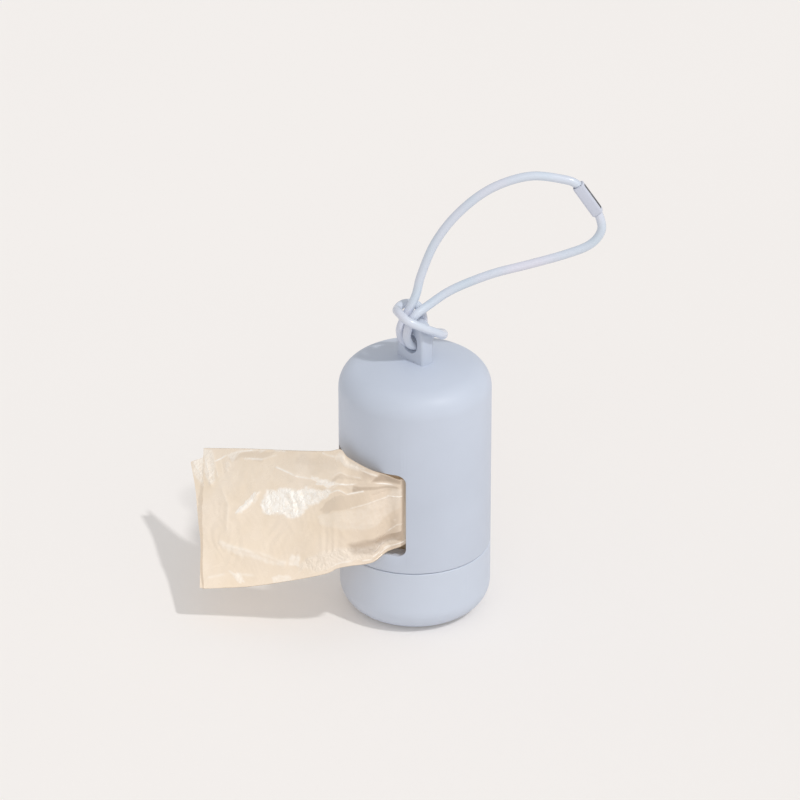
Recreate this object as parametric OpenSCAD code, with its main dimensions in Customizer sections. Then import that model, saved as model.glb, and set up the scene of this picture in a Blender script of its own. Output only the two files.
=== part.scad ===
// Pocket dispenser for a roll of dog waste bags, with a wrist cord.
// The origin is the middle of the flat face that it stands on. +Z is up, and the window faces -Y.

/* [Shell] */
// Outer diameter of the barrel
body_d = 45; // [43:0.5:56]
// Height of the middle of the dome above the base
body_h = 82; // [80:1:100]
// Wall of the casing and of the cap
wall = 2.2; // [1.6:0.1:2.7]
// Radius of the shoulder below the dome
shoulder_r = 7.5; // [5:0.5:10]
// Rise of the dome over its shoulder
crown_h = 1.7; // [1:0.1:3]

/* [Cap] */
// Height of the parting line between cap and casing
cap_h = 21.4; // [20:0.2:26]
// Radius of the edge round the base
base_r = 8.4; // [5:0.2:9]
// Gap at the parting line when the cap is closed
seam_gap = 0.2; // [0.1:0.05:0.4]
// Chamfer on each side of the parting line
seam_chamfer = 0.25; // [0.1:0.05:0.5]

/* [Thread] */
// Pitch of the cap's thread, right-handed
thread_pitch = 3.5; // [3:0.1:4]
// Number of turns on each part
thread_turns = 1.8; // [1.5:0.1:2]
// Height of the ridges
thread_depth = 0.9; // [0.6:0.1:1.1]
// Gap between the ridges of one part and the root of the other
thread_gap = 0.25; // [0.2:0.05:0.4]
// Wall of the neck inside its thread
neck_wall = 1.3; // [1:0.1:1.6]
// Wall of the cap's thread ring outside its thread
ring_wall = 0.9; // [0.8:0.1:1.2]

/* [Window] */
// Width of the window, measured straight across
window_w = 28.8; // [24:0.2:32]
// Height of the window
window_h = 27.2; // [26.6:0.2:32]
// Height of the window's lower edge above the base
window_z = 27.3; // [24:0.1:33]
// Radius of the window's corners
window_r = 2.5; // [1:0.5:5]

/* [Hanger] */
// Width of the tab on the dome
tab_w = 10.9; // [10:0.1:11]
// Thickness of the tab
tab_t = 4.7; // [4:0.1:4.7]
// Height of the tab over the dome
tab_h = 12.4; // [12:0.1:13]
// Rounding of the tab's top corners, seen from the front
tab_r = 4; // [3:0.5:5]
// Rounding of the tab's top edges, seen from the side
tab_edge_r = 1.5; // [1:0.1:2]
// Width of the cord's hole
eye_w = 6.1; // [6:0.1:6.4]
// Height of the cord's hole
eye_h = 6.9; // [6.8:0.1:8]
// Thickness of the bar over the hole
eye_bar = 3.1; // [2.8:0.1:3.4]
// Reach of the foot that holds the tab inside the dome
foot_reach = 2; // [1:0.5:4]
// Thickness of that foot
foot_t = 1.6; // [1:0.1:3]

/* [Bag roll] */
// Width of the roll, along its core
roll_w = 57; // [50:0.5:57]
// Outer diameter of the wound bags
roll_d = 30.6; // [24:0.2:30.6]
// Inner diameter of the cardboard core
core_d = 13; // [11:0.5:16]
// Wall of the cardboard core
core_wall = 1; // [0.5:0.1:1.5]
// Thickness of the solid that stands for the gathered bag
bag_t = 0.9; // [0.6:0.1:1.2]

/* [Roll post] */
// Gap all round between post and core
post_gap = 0.3; // [0.2:0.05:0.5]
// Wall of the hollow post
post_wall = 1.4; // [1:0.1:2]
// Distance from the top of the post down from the top of the roll
post_drop = 3; // [0:0.5:20]
// Thickness of the plate that carries the roll
plate_t = 1.3; // [1:0.1:2]
// Diameter of that plate
plate_d = 27; // [20:0.5:28]
// Diameter of the stub that turns in the cap's socket
stub_d = 8; // [6:0.5:9]
// Length of the stub
stub_l = 6; // [4:0.5:7]
// Gap all round between stub and socket
stub_gap = 0.05; // [0.02:0.01:0.1]
// Wall of the socket
socket_wall = 2.2; // [1.5:0.1:3]
// Play along the axis between pieces that rest on each other
end_play = 0.2; // [0.1:0.05:0.3]

/* [Cord] */
// Diameter of the cord
cord_d = 2.6; // [2.2:0.1:2.6]
// Length of the sleeve that joins the cord's ends
sleeve_l = 10.6; // [9:0.1:12]
// Height of the sleeve's section
sleeve_h = 3.4; // [3.3:0.1:5]
// Width of the sleeve's section
sleeve_w = 3.4; // [3.3:0.1:6]
// Rounding of the sleeve's long edges
sleeve_r = 0.7; // [0.3:0.1:0.8]
// Depth to which each end of the cord goes in
sleeve_bite = 4; // [3:0.5:4.5]
// Wall of the metal ferrule inside the sleeve
ferrule_wall = 0.1; // [0.05:0.05:0.15]
// Length of that ferrule
ferrule_l = 9; // [8:0.1:9]
// Length of the dark strip let into the sleeve
strip_l = 8.8; // [6:0.1:9]
// Width of that strip
strip_w = 1.7; // [1:0.1:1.8]
// Thickness of that strip
strip_t = 0.15; // [0.1:0.05:0.2]

/* [Hidden] */
$fn = 96;

// Walls of the shell
body_r = body_d / 2;
bore_r = body_r - wall;
casing_z = cap_h + seam_gap;

// The dome is part of a large sphere, and the shoulder's arc runs into it without a corner
shoulder_x = body_r - shoulder_r;
dome_r = (pow(shoulder_x, 2) + pow(crown_h, 2)) / (2 * crown_h);
dome_slope = asin(shoulder_x / (dome_r - shoulder_r));
dome_z = body_h - dome_r;
shoulder_z = dome_z + (dome_r - shoulder_r) * cos(dome_slope);

// Thread: ridges of the neck point outwards and those of the cap's ring inwards
ring_root_r = bore_r - ring_wall;
neck_crest_r = ring_root_r - thread_gap;
neck_root_r = neck_crest_r - thread_depth;
ring_crest_r = neck_root_r + thread_gap;
neck_bore_r = neck_root_r - neck_wall;
ridge_foot = 0.5 * thread_pitch;
ridge_tip = 0.22 * thread_pitch;
thread_run = thread_turns * thread_pitch;
rim_clear = 0.5;
neck_thread_z = cap_h - rim_clear - ridge_foot / 2 - thread_run;
ring_thread_z = neck_thread_z - thread_pitch / 2;
neck_low_z = neck_thread_z - ridge_foot / 2 - rim_clear;
neck_top_z = window_z - rim_clear;
ring_low_z = ring_thread_z - ridge_foot / 2 - rim_clear;
ring_top_z = cap_h - rim_clear;

// Roll, post and socket follow the middle of the window
roll_z = window_z + window_h / 2 - roll_w / 2;
roll_r = roll_d / 2;
core_r = core_d / 2;
core_out_r = core_r + core_wall;
post_r = core_r - post_gap;
post_top_z = roll_z + roll_w - post_drop;
plate_z = roll_z - end_play - plate_t;
stub_r = stub_d / 2;
socket_r = stub_r + stub_gap;
socket_top_z = plate_z - end_play;
socket_low_z = plate_z - stub_l - end_play;

// Tab on the dome and the hole in it
tab_top_z = body_h + tab_h;
eye_top_z = tab_top_z - eye_bar;
eye_low_z = eye_top_z - eye_h;
foot_top_z = body_h - wall;

// The cord's loop leans over in an upright plane that is turned from the window's width by this angle
loop_turn = 47;
cord_r = cord_d / 2;
ferrule_r = cord_r + ferrule_wall;
sleeve_mid = [49.6, 0, 133.4];
sleeve_tilt = 56;
sleeve_way = [cos(sleeve_tilt), 0, -sin(sleeve_tilt)];

// Route of the cord: [along the loop's plane, behind it, up] for the two legs of the loop,
// and [x, y, z] for the hitch round the bar of the tab
upper_leg = [
    [42.6, 0, 139.6], [32.6, 0, 140.6], [21.6, 0, 136.6], [12.4, 0, 128.8], [5.8, 0, 119.4],
    [1.8, 0, 109], [0, -0.6, 102]
];
hitch = [
    [-1, -4.3, 94.2],
    [-1.36, -4.5, 90.9], [-1.36, -3.1, 87.9], [-1.36, 0, 86.6], [-1.36, 3.1, 87.9], [-1.36, 4.5, 90.9],
    [-1.6, 4.3, 94.2], [-3, 3.3, 97], [-4.6, 0, 97.9], [-3.5, -3.9, 97.8], [-0.2, -6, 98.5],
    [3.8, -6.2, 97.4], [6.7, -2.5, 94.9], [7.2, 1.5, 92.4], [6.6, 4.8, 90.2], [4.4, 6.9, 89.2],
    [1.9, 5.6, 88.7], [1.36, 3.1, 87.8], [1.36, 0, 86.6], [1.36, -3.1, 87.9], [1.36, -4.5, 90.9],
    [1.7, -4, 94.3], [2.5, -2.5, 97.4]
];
lower_leg = [
    [4, -1.2, 99.8], [11, 0, 104.3], [22, 0, 109.2], [33, 0, 112.4], [43.6, 0, 115.7], [50.6, 0, 118.9],
    [53.7, 0, 123.6]
];

// The pulled bag leaves the roll at a tangent, runs straight to the outside of the window, and is
// held clear of the window's upper and lower edge by bag_slack
bag_turn = -20;
bag_gap = 0.3;
bag_slack = 1.1;
bag_way = [sin(bag_turn), -cos(bag_turn), 0];
bag_side = [cos(bag_turn), sin(bag_turn), 0];
bag_line_r = roll_r + bag_gap + bag_t / 2;
bag_start = bag_line_r * bag_side;
bag_exit = bag_start + sqrt(pow(body_r, 2) - pow(bag_line_r, 2)) * bag_way;
bag_top_z = window_z + window_h - bag_slack;
bag_low_z = window_z + bag_slack;

// Its upper and lower edge outside, counted from where it crosses the wall's outer face
upper_edge = [
    [-3.7, -4, 2.6], [-11.2, -4.9, 2.6], [-20.2, -4.7, 1.6], [-36.7, -2.7, -5.4], [-58.7, -1.7, -14.4],
    [-81.7, 0.1, -23.4]
];
lower_edge = [
    [-0.7, -5.1, -1.8], [-4.7, -10.2, -4.6], [-11.2, -14.2, -7.4], [-20.7, -20.2, -11], [-30.7, -27.2, -14.2],
    [-41.3, -35.9, -16]
];
bag_upper = [
    bag_start + [0, 0, bag_top_z], (bag_start + bag_exit) / 2 + [0, 0, bag_top_z],
    bag_exit + [0, 0, bag_top_z], for (p = upper_edge) bag_exit + [p[0], p[1], p[2] + bag_top_z]
];
bag_lower = [
    bag_start + [0, 0, bag_low_z], (bag_start + bag_exit) / 2 + [0, 0, bag_low_z],
    bag_exit + [0, 0, bag_low_z], for (p = lower_edge) bag_exit + [p[0], p[1], p[2] + bag_low_z]
];

function arc(middle, r, from, to, steps) = [
    for (i = [0 : steps]) let (a = from + (to - from) * i / steps) middle + r * [cos(a), sin(a)]
];
function backwards(list) = [for (i = [len(list) - 1 : -1 : 0]) list[i]];
function in_loop_plane(p) = [
    p[0] * cos(loop_turn) - p[1] * sin(loop_turn), p[0] * sin(loop_turn) + p[1] * cos(loop_turn), p[2]
];
function sleeve_point(along) = in_loop_plane(sleeve_mid + along * sleeve_way);

// A smooth curve through a row of points
function curve_at(a, b, c, d, t) =
    b * (2 * pow(t, 3) - 3 * pow(t, 2) + 1) + (c - a) / 2 * (pow(t, 3) - 2 * pow(t, 2) + t)
    + c * (3 * pow(t, 2) - 2 * pow(t, 3)) + (d - b) / 2 * (pow(t, 3) - pow(t, 2));
function curve(p, steps) = [
    for (i = [0 : len(p) - 2], k = [0 : steps - 1])
        curve_at(p[max(i - 1, 0)], p[i], p[i + 1], p[min(i + 2, len(p) - 1)], k / steps),
    p[len(p) - 1]
];
function path_length(p, i = 0) = i > len(p) - 2 ? 0 : norm(p[i + 1] - p[i]) + path_length(p, i + 1);

// Rings along a path, each turned as little as possible against the one before
function unit(v) = v / norm(v);
function heading(p, i) = unit(p[min(i + 1, len(p) - 1)] - p[max(i - 1, 0)]);
function square_to(v, way) = unit(v - (v * way) * way);
function ring_sides(p) = [
    for (i = 0, s = square_to([0, 0, 1], heading(p, 0)); i < len(p);
        i = i + 1, s = square_to(s, heading(p, min(i, len(p) - 1)))) s
];
function ring_faces(rings, n) = concat(
    [[for (k = [0 : n - 1]) k]],
    [[for (k = [n - 1 : -1 : 0]) (rings - 1) * n + k]],
    [
        for (i = [0 : rings - 2], k = [0 : n - 1])
            let (a = i * n + k, b = i * n + (k + 1) % n)
            for (f = k < n / 2 ? [[a, a + n, b + n], [a, b + n, b]] : [[a, a + n, b], [a + n, b + n, b]]) f
    ]
);

// Half sections, from the axis outwards
function dome(inset) = arc([0, dome_z], dome_r - inset, 90 - dome_slope, 90, 10);
function shoulder(inset) = arc([shoulder_x, shoulder_z], shoulder_r - inset, 0, 90 - dome_slope, 14);
function base_edge(inset) = arc([body_r - base_r, base_r], base_r - inset, -90, 0, 14);

module rounded_square(w, h, r) {
    square([w, h - 2 * r], center = true);
    square([w - 2 * r, h], center = true);
    for (x = [-1, 1], y = [-1, 1]) translate([x * (w / 2 - r), y * (h / 2 - r)]) circle(r);
}

module ring(out_r, in_r, low, top) {
    translate([0, 0, low]) rotate_extrude() translate([in_r, 0]) square([out_r - in_r, top - low]);
}

// A ridge that climbs like a right-hand screw and fades into the wall at both ends
module ridge(root_r, crest_r, z) {
    steps_per_turn = 36;
    fade_steps = 6;
    bite = 0.3;
    steps = ceil(thread_turns * steps_per_turn);
    sunk = crest_r > root_r ? -bite : bite;
    points = [
        for (i = [0 : steps])
            let (a = 360 * thread_turns * i / steps, fade = min(1, min(i, steps - i) / fade_steps))
            let (crest = root_r + (crest_r - root_r) * fade, mid = z + thread_run * i / steps)
            for (q = [
                [root_r + sunk, mid - ridge_foot / 2], [root_r + sunk, mid + ridge_foot / 2],
                [crest, mid + ridge_tip / 2], [crest, mid - ridge_tip / 2]
            ]) [q[0] * cos(a), q[0] * sin(a), q[1]]
    ];
    faces = ring_faces(steps + 1, 4);
    polyhedron(points, crest_r > root_r ? faces : [for (f = faces) backwards(f)], convexity = 8);
}

module casing() {
    section = concat(
        [[bore_r, casing_z], [body_r - seam_chamfer, casing_z], [body_r, casing_z + seam_chamfer]],
        shoulder(0), dome(0), backwards(dome(wall)), backwards(shoulder(wall))
    );
    color("#c3cad9") difference() {
        rotate_extrude() polygon(section);
        translate([0, -bore_r / 2, window_z + window_h / 2]) rotate([90, 0, 0])
            linear_extrude(body_r) rounded_square(window_w, window_h, window_r);
        translate([0, 0, body_h]) cube([tab_w, tab_t, 4 * wall], center = true);
    }
}

module hanger_tab() {
    foot_w = tab_w + 2 * foot_reach;
    low_z = foot_top_z - foot_t;
    color("#bcc3d2") difference() {
        union() {
            intersection() {
                translate([0, tab_t / 2, 0]) rotate([90, 0, 0]) linear_extrude(tab_t) union() {
                    translate([-tab_w / 2, low_z]) square([tab_w, tab_top_z - tab_r - low_z]);
                    translate([-tab_w / 2 + tab_r, low_z]) square([tab_w - 2 * tab_r, tab_top_z - low_z]);
                    for (x = [-1, 1])
                        translate([x * (tab_w / 2 - tab_r), tab_top_z - tab_r]) circle(tab_r);
                }
                translate([-tab_w, 0, 0]) rotate([90, 0, 90]) linear_extrude(2 * tab_w) union() {
                    translate([-tab_t / 2, low_z]) square([tab_t, tab_top_z - tab_edge_r - low_z]);
                    translate([-tab_t / 2 + tab_edge_r, low_z])
                        square([tab_t - 2 * tab_edge_r, tab_top_z - low_z]);
                    for (y = [-1, 1])
                        translate([y * (tab_t / 2 - tab_edge_r), tab_top_z - tab_edge_r]) circle(tab_edge_r);
                }
            }
            intersection() {
                translate([0, 0, foot_top_z - foot_t / 2])
                    cube([foot_w, tab_t + 2 * foot_reach, foot_t], center = true);
                translate([0, 0, dome_z]) sphere(dome_r - wall);
            }
        }
        translate([0, tab_t, (eye_low_z + eye_top_z) / 2]) rotate([90, 0, 0])
            linear_extrude(2 * tab_t) union() {
                square([eye_w, eye_h - eye_w], center = true);
                for (z = [-1, 1]) translate([0, z * (eye_h - eye_w) / 2]) circle(eye_w / 2);
            }
    }
}

module neck_ring() {
    overlap = (neck_top_z - casing_z) / 2;
    color("#aeb6c6") union() {
        ring(bore_r, neck_bore_r, casing_z, neck_top_z);
        ring(neck_root_r, neck_bore_r, neck_low_z, casing_z + overlap);
        ridge(neck_root_r, neck_crest_r, neck_thread_z);
    }
}

module base_cap() {
    section = concat(
        [[0, 0]], base_edge(0), [[body_r, cap_h - seam_chamfer], [body_r - seam_chamfer, cap_h], [bore_r, cap_h]],
        backwards(base_edge(wall)), [[0, wall]]
    );
    color("#c8d0dd") difference() {
        union() {
            rotate_extrude() polygon(section);
            translate([0, 0, wall / 2]) cylinder(r = socket_r + socket_wall, h = socket_top_z - wall / 2);
        }
        translate([0, 0, socket_low_z]) cylinder(r = socket_r, h = stub_l * 2);
    }
}

module cap_thread_ring() {
    color("#aeb6c6") union() {
        ring(bore_r, ring_root_r, ring_low_z, ring_top_z);
        ridge(ring_root_r, ring_crest_r, ring_thread_z);
    }
}

module roll_post() {
    hollow_r = post_r - post_wall;
    color("#d9dde4") difference() {
        union() {
            translate([0, 0, plate_z]) cylinder(d = plate_d, h = plate_t);
            translate([0, 0, plate_z]) cylinder(r = post_r, h = post_top_z - post_wall - plate_z);
            translate([0, 0, post_top_z - post_wall])
                cylinder(r1 = post_r, r2 = (post_r + hollow_r) / 2, h = post_wall);
            translate([0, 0, plate_z - stub_l]) cylinder(r = stub_r, h = stub_l + plate_t);
        }
        translate([0, 0, plate_z + 2 * plate_t]) cylinder(r = hollow_r, h = post_top_z - plate_z);
    }
}

module roll_core() {
    color("#b79f82") ring(core_out_r, core_r, roll_z, roll_z + roll_w);
}

module bag_roll() {
    color("#ead9c6") ring(roll_r, core_out_r, roll_z, roll_z + roll_w);
}

module pulled_bag() {
    upper = curve(bag_upper, 2);
    lower = curve(bag_lower, 2);
    middles = [for (i = [0 : len(upper) - 1]) (upper[i] + lower[i]) / 2];
    points = [
        for (i = [0 : len(middles) - 1])
            let (across = unit(upper[i] - lower[i]))
            let (face = bag_t / 2 * unit(cross(heading(middles, i), across)))
            for (p = [upper[i] + face, lower[i] + face, lower[i] - face, upper[i] - face]) p
    ];
    color("#f0ddc6") polyhedron(points, ring_faces(len(middles), 4), convexity = 6);
}

module wrist_cord() {
    inner = sleeve_l / 2 - sleeve_bite;
    route = concat(
        [sleeve_point(-inner), sleeve_point(-sleeve_l / 2)],
        [for (p = upper_leg) in_loop_plane(p)], hitch, [for (p = lower_leg) in_loop_plane(p)],
        [sleeve_point(sleeve_l / 2), sleeve_point(inner)]
    );
    path = curve(route, 2);
    side = ring_sides(path);
    sides = 8;
    points = [
        for (i = [0 : len(path) - 1], k = [0 : sides - 1])
            let (a = 360 * k / sides, up = cross(heading(path, i), side[i]))
            path[i] + cord_r * (cos(a) * side[i] + sin(a) * up)
    ];
    echo(cord_length = path_length(path), cord_rings = len(path));
    color("#d5dee9") polyhedron(points, ring_faces(len(path), sides), convexity = 12);
}

// Places what is drawn along +X, with its outer face up, on the sleeve's axis
module on_sleeve() {
    translate(in_loop_plane(sleeve_mid)) rotate([0, 0, loop_turn]) rotate([0, sleeve_tilt, 0]) children();
}

module crimp_ferrule() {
    color("#b9bcc2") on_sleeve() rotate([0, 90, 0]) translate([0, 0, -ferrule_l / 2])
        ring(ferrule_r, cord_r, 0, ferrule_l);
}

module cord_sleeve() {
    color("#c6cddb") on_sleeve() difference() {
        rotate([90, 0, 90]) translate([0, 0, -sleeve_l / 2])
            linear_extrude(sleeve_l) rounded_square(sleeve_w, sleeve_h, sleeve_r);
        rotate([0, 90, 0]) cylinder(r = cord_r, h = 2 * sleeve_l, center = true);
        rotate([0, 90, 0]) cylinder(r = ferrule_r, h = ferrule_l, center = true);
        translate([0, 0, sleeve_h / 2]) cube([strip_l, strip_w, 2 * strip_t], center = true);
    }
}

module sleeve_strip() {
    color("#3a3d45") on_sleeve() translate([0, 0, sleeve_h / 2 - strip_t / 2])
        cube([strip_l, strip_w, strip_t], center = true);
}

casing();
hanger_tab();
neck_ring();
base_cap();
cap_thread_ring();
roll_post();
roll_core();
bag_roll();
pulled_bag();
wrist_cord();
crimp_ferrule();
cord_sleeve();
sleeve_strip();
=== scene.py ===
import math

import bmesh
import bpy
import numpy as np
from mathutils import Matrix, Vector, noise


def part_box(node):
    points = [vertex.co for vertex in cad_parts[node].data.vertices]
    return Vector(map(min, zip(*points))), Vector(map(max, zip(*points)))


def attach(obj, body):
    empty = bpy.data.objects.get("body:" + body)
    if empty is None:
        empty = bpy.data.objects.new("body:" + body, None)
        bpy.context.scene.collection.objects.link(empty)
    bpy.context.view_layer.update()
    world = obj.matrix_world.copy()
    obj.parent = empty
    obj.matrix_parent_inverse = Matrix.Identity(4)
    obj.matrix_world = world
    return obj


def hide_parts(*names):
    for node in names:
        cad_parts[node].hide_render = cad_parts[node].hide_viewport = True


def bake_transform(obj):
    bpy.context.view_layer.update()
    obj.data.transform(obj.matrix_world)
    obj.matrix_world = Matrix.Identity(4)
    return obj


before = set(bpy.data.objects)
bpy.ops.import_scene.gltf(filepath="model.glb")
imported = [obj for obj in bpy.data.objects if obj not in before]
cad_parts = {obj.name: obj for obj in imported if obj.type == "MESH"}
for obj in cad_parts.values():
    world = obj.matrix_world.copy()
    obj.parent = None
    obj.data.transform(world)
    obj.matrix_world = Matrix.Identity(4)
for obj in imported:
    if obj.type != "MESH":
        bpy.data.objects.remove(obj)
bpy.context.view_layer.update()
mm = 0.001
print("frame loaded")

# small tools used by every piece


def clearSelection():
    if bpy.context.mode != "OBJECT":
        bpy.ops.object.mode_set(mode="OBJECT")
    bpy.ops.object.select_all(action="DESELECT")


def makeActive(piece):
    clearSelection()
    piece.select_set(True)
    bpy.context.view_layer.objects.active = piece


def newest(name):
    piece = bpy.context.object
    piece.name = name
    piece.data.name = name
    return piece


def settle(piece):
    makeActive(piece)
    bpy.ops.object.transform_apply(location=True, rotation=True, scale=True)


def editMode(piece, kind):
    makeActive(piece)
    bpy.ops.object.mode_set(mode="EDIT")
    bpy.ops.mesh.select_mode(type=kind)
    bpy.ops.mesh.select_all(action="DESELECT")


def pickEdges(piece, rule):
    mesh = bmesh.from_edit_mesh(piece.data)
    for edge in mesh.edges:
        edge.select_set(rule(edge.verts[0].co, edge.verts[1].co))
    bmesh.update_edit_mesh(piece.data)


def pickFaces(piece, rule):
    mesh = bmesh.from_edit_mesh(piece.data)
    for face in mesh.faces:
        face.select_set(rule(face.calc_center_median(), face.normal))
    bmesh.update_edit_mesh(piece.data)


def applyModifier(piece, kind, **values):
    makeActive(piece)
    modifier = piece.modifiers.new(kind.title(), kind)
    for key, value in values.items():
        setattr(modifier, key, value)
    bpy.ops.object.modifier_apply(modifier=modifier.name)


def cutAway(piece, cutter):
    applyModifier(piece, "BOOLEAN", operation="DIFFERENCE", solver="EXACT", object=cutter)
    bpy.data.objects.remove(cutter)


def softenEdges(piece, width, segments=3, above=35):
    applyModifier(piece, "BEVEL", width=width, segments=segments, limit_method="ANGLE",
                  angle_limit=math.radians(above), use_clamp_overlap=False, harden_normals=False)
    makeActive(piece)
    bpy.ops.object.shade_smooth_by_angle(angle=math.radians(35))


def smoothCurvePoint(points, t):
    # the same curve as the CAD model's: it passes through every point
    i = min(int(t), len(points) - 2)
    s = t - i
    a, b = points[max(i - 1, 0)], points[i]
    c, d = points[i + 1], points[min(i + 2, len(points) - 1)]
    return (b * (2 * s**3 - 3 * s**2 + 1) + (c - a) / 2 * (s**3 - 2 * s**2 + s)
            + c * (3 * s**2 - 2 * s**3) + (d - b) / 2 * (s**3 - s**2))


def ramp(low, high, value):
    t = max(0, min(1, (value - low) / (high - low)))
    return t * t * (3 - 2 * t)


# camera

viewpoint = {
    "turn": 47,
    "rise": 29.4,
    "distance": 1.44,
    "aimHeight": 0.04,
    "lens": 218.6,
    "sensor": 36,
    "shift": (-0.0188, 0.1031),
    "clip": (0.05, 20),
}


def makeCamera():
    turn, rise = math.radians(viewpoint["turn"]), math.radians(viewpoint["rise"])
    back = Vector((math.sin(turn) * math.cos(rise), -math.cos(turn) * math.cos(rise), math.sin(rise)))
    clearSelection()
    bpy.ops.object.camera_add(location=Vector((0, 0, viewpoint["aimHeight"])) + back * viewpoint["distance"])
    camera = bpy.context.object
    camera.rotation_euler = back.to_track_quat("Z", "Y").to_euler()
    camera.data.lens = viewpoint["lens"]
    camera.data.sensor_width = viewpoint["sensor"]
    camera.data.shift_x, camera.data.shift_y = viewpoint["shift"]
    camera.data.clip_start, camera.data.clip_end = viewpoint["clip"]
    bpy.context.scene.camera = camera


makeCamera()
print("camera placed")

# wrist cord: one length, hitched round the tab's bar and closed by the sleeve

cord = {
    "diameter": 2.6,
    "length": 0.2325,
    "stepsAlong": 10,
    "stepsAround": 8,
    "loopTurn": 47,
    "sleeveMiddle": (49.6, 0, 133.4),
    "sleeveTilt": 56,
    "sleeveLength": 10.6,
    "bite": 4,
    "upperLeg": [
        (42.6, 0, 139.6), (32.6, 0, 140.6), (21.6, 0, 136.6), (12.4, 0, 128.8), (5.8, 0, 119.4),
        (1.8, 0, 109), (0, -0.6, 102),
    ],
    "hitch": [
        (-1, -4.3, 94.2),
        (-1.36, -4.5, 90.9), (-1.36, -3.1, 87.9), (-1.36, 0, 86.6), (-1.36, 3.1, 87.9), (-1.36, 4.5, 90.9),
        (-1.6, 4.3, 94.2), (-3, 3.3, 97), (-4.6, 0, 97.9), (-3.5, -3.9, 97.8), (-0.2, -6, 98.5),
        (3.8, -6.2, 97.4), (6.7, -2.5, 94.9), (7.2, 1.5, 92.4), (6.6, 4.8, 90.2), (4.4, 6.9, 89.2),
        (1.9, 5.6, 88.7), (1.36, 3.1, 87.8), (1.36, 0, 86.6), (1.36, -3.1, 87.9), (1.36, -4.5, 90.9),
        (1.7, -4, 94.3), (2.5, -2.5, 97.4),
    ],
    "lowerLeg": [
        (4, -1.2, 99.8), (11, 0, 104.3), (22, 0, 109.2), (33, 0, 112.4), (43.6, 0, 115.7),
        (50.6, 0, 118.9), (53.7, 0, 123.6),
    ],
}


def inLoopPlane(point):
    return Matrix.Rotation(math.radians(cord["loopTurn"]), 4, "Z") @ Vector(point)


def sleevePoint(along):
    tilt = math.radians(cord["sleeveTilt"])
    way = Vector((math.cos(tilt), 0, -math.sin(tilt)))
    return inLoopPlane(Vector(cord["sleeveMiddle"]) + way * along)


def buildCord():
    mouth = cord["sleeveLength"] / 2
    inner = mouth - cord["bite"]
    route = [sleevePoint(-inner), sleevePoint(-mouth)]
    route += [inLoopPlane(p) for p in cord["upperLeg"]]
    route += [Vector(p) for p in cord["hitch"]]
    route += [inLoopPlane(p) for p in cord["lowerLeg"]]
    route += [sleevePoint(mouth), sleevePoint(inner)]
    route = [p * mm for p in route]
    curve = bpy.data.curves.new("wristCordRound", "CURVE")
    curve.dimensions = "3D"
    curve.resolution_u = cord["stepsAlong"]
    curve.bevel_depth = cord["diameter"] / 2
    curve.bevel_resolution = cord["stepsAround"]
    curve.use_fill_caps = True
    spline = curve.splines.new("BEZIER")
    spline.bezier_points.add(len(route) - 1)
    for i, (knot, place) in enumerate(zip(spline.bezier_points, route)):
        pull = (route[min(i + 1, len(route) - 1)] - route[max(i - 1, 0)]) / 6
        knot.co = place
        knot.radius = mm  # turns the bevel depth, which is in mm, into metres
        knot.handle_left_type = knot.handle_right_type = "FREE"
        knot.handle_left = place - pull
        knot.handle_right = place + pull
    piece = bpy.data.objects.new("wristCordRound", curve)
    bpy.context.scene.collection.objects.link(piece)
    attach(piece, "cord")
    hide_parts("wrist_cord")
    return piece


wristCord = buildCord()
print("cord laid")

# sleeve that joins the cord's ends, with a shallow bed for the dark strip

sleeve = {
    "high": 3.4,
    "wide": 3.4,
    "longEdge": 0.7,
    "longEdgeSteps": 5,
    "mouth": 1.33,
    "bed": (8.85, 1.75, 0.17),
    "endEdge": 0.32,
}


def buildSleeve():
    clearSelection()
    bpy.ops.mesh.primitive_cube_add(size=1)
    piece = newest("cordSleeveMoulded")
    piece.scale = Vector((cord["sleeveLength"], sleeve["wide"], sleeve["high"])) * mm
    settle(piece)
    editMode(piece, "EDGE")
    pickEdges(piece, lambda a, b: abs(a.x - b.x) > mm)
    bpy.ops.mesh.bevel(offset=sleeve["longEdge"] * mm, segments=sleeve["longEdgeSteps"], affect="EDGES")
    clearSelection()
    bpy.ops.mesh.primitive_cylinder_add(vertices=48, radius=sleeve["mouth"] * mm, depth=0.02,
                                        rotation=(0, math.pi / 2, 0))
    cutAway(piece, newest("boreCutter"))
    softenEdges(piece, sleeve["endEdge"] * mm, 3, above=50)
    clearSelection()
    bpy.ops.mesh.primitive_cube_add(size=1, location=(0, 0, sleeve["high"] / 2 * mm))
    bed = newest("bedCutter")
    bed.scale = Vector((sleeve["bed"][0], sleeve["bed"][1], 2 * sleeve["bed"][2])) * mm
    cutAway(piece, bed)
    turn = Matrix.Rotation(math.radians(cord["loopTurn"]), 4, "Z")
    tilt = Matrix.Rotation(math.radians(cord["sleeveTilt"]), 4, "Y")
    piece.matrix_world = Matrix.Translation(inLoopPlane(cord["sleeveMiddle"]) * mm) @ turn @ tilt
    settle(piece)
    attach(piece, "cord")
    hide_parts("cord_sleeve")
    return piece


cordSleeve = buildSleeve()
print("sleeve modelled")

# casing: barrel, shoulder and dome, with the window cut through

casing = {
    "sides": 192,
    "wall": 2.2,
    "shoulder": 7.5,
    "crown": 1.7,
    "shoulderSteps": 14,
    "domeSteps": 9,
    "windowWide": 28.8,
    "windowTall": 27.2,
    "windowLow": 27.3,
    "windowCorner": 2.5,
    "windowCornerSteps": 8,
    "windowCut": (10, 30),  # how far from the axis the cut starts, and how long it is
    "edge": 0.3,
}


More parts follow.
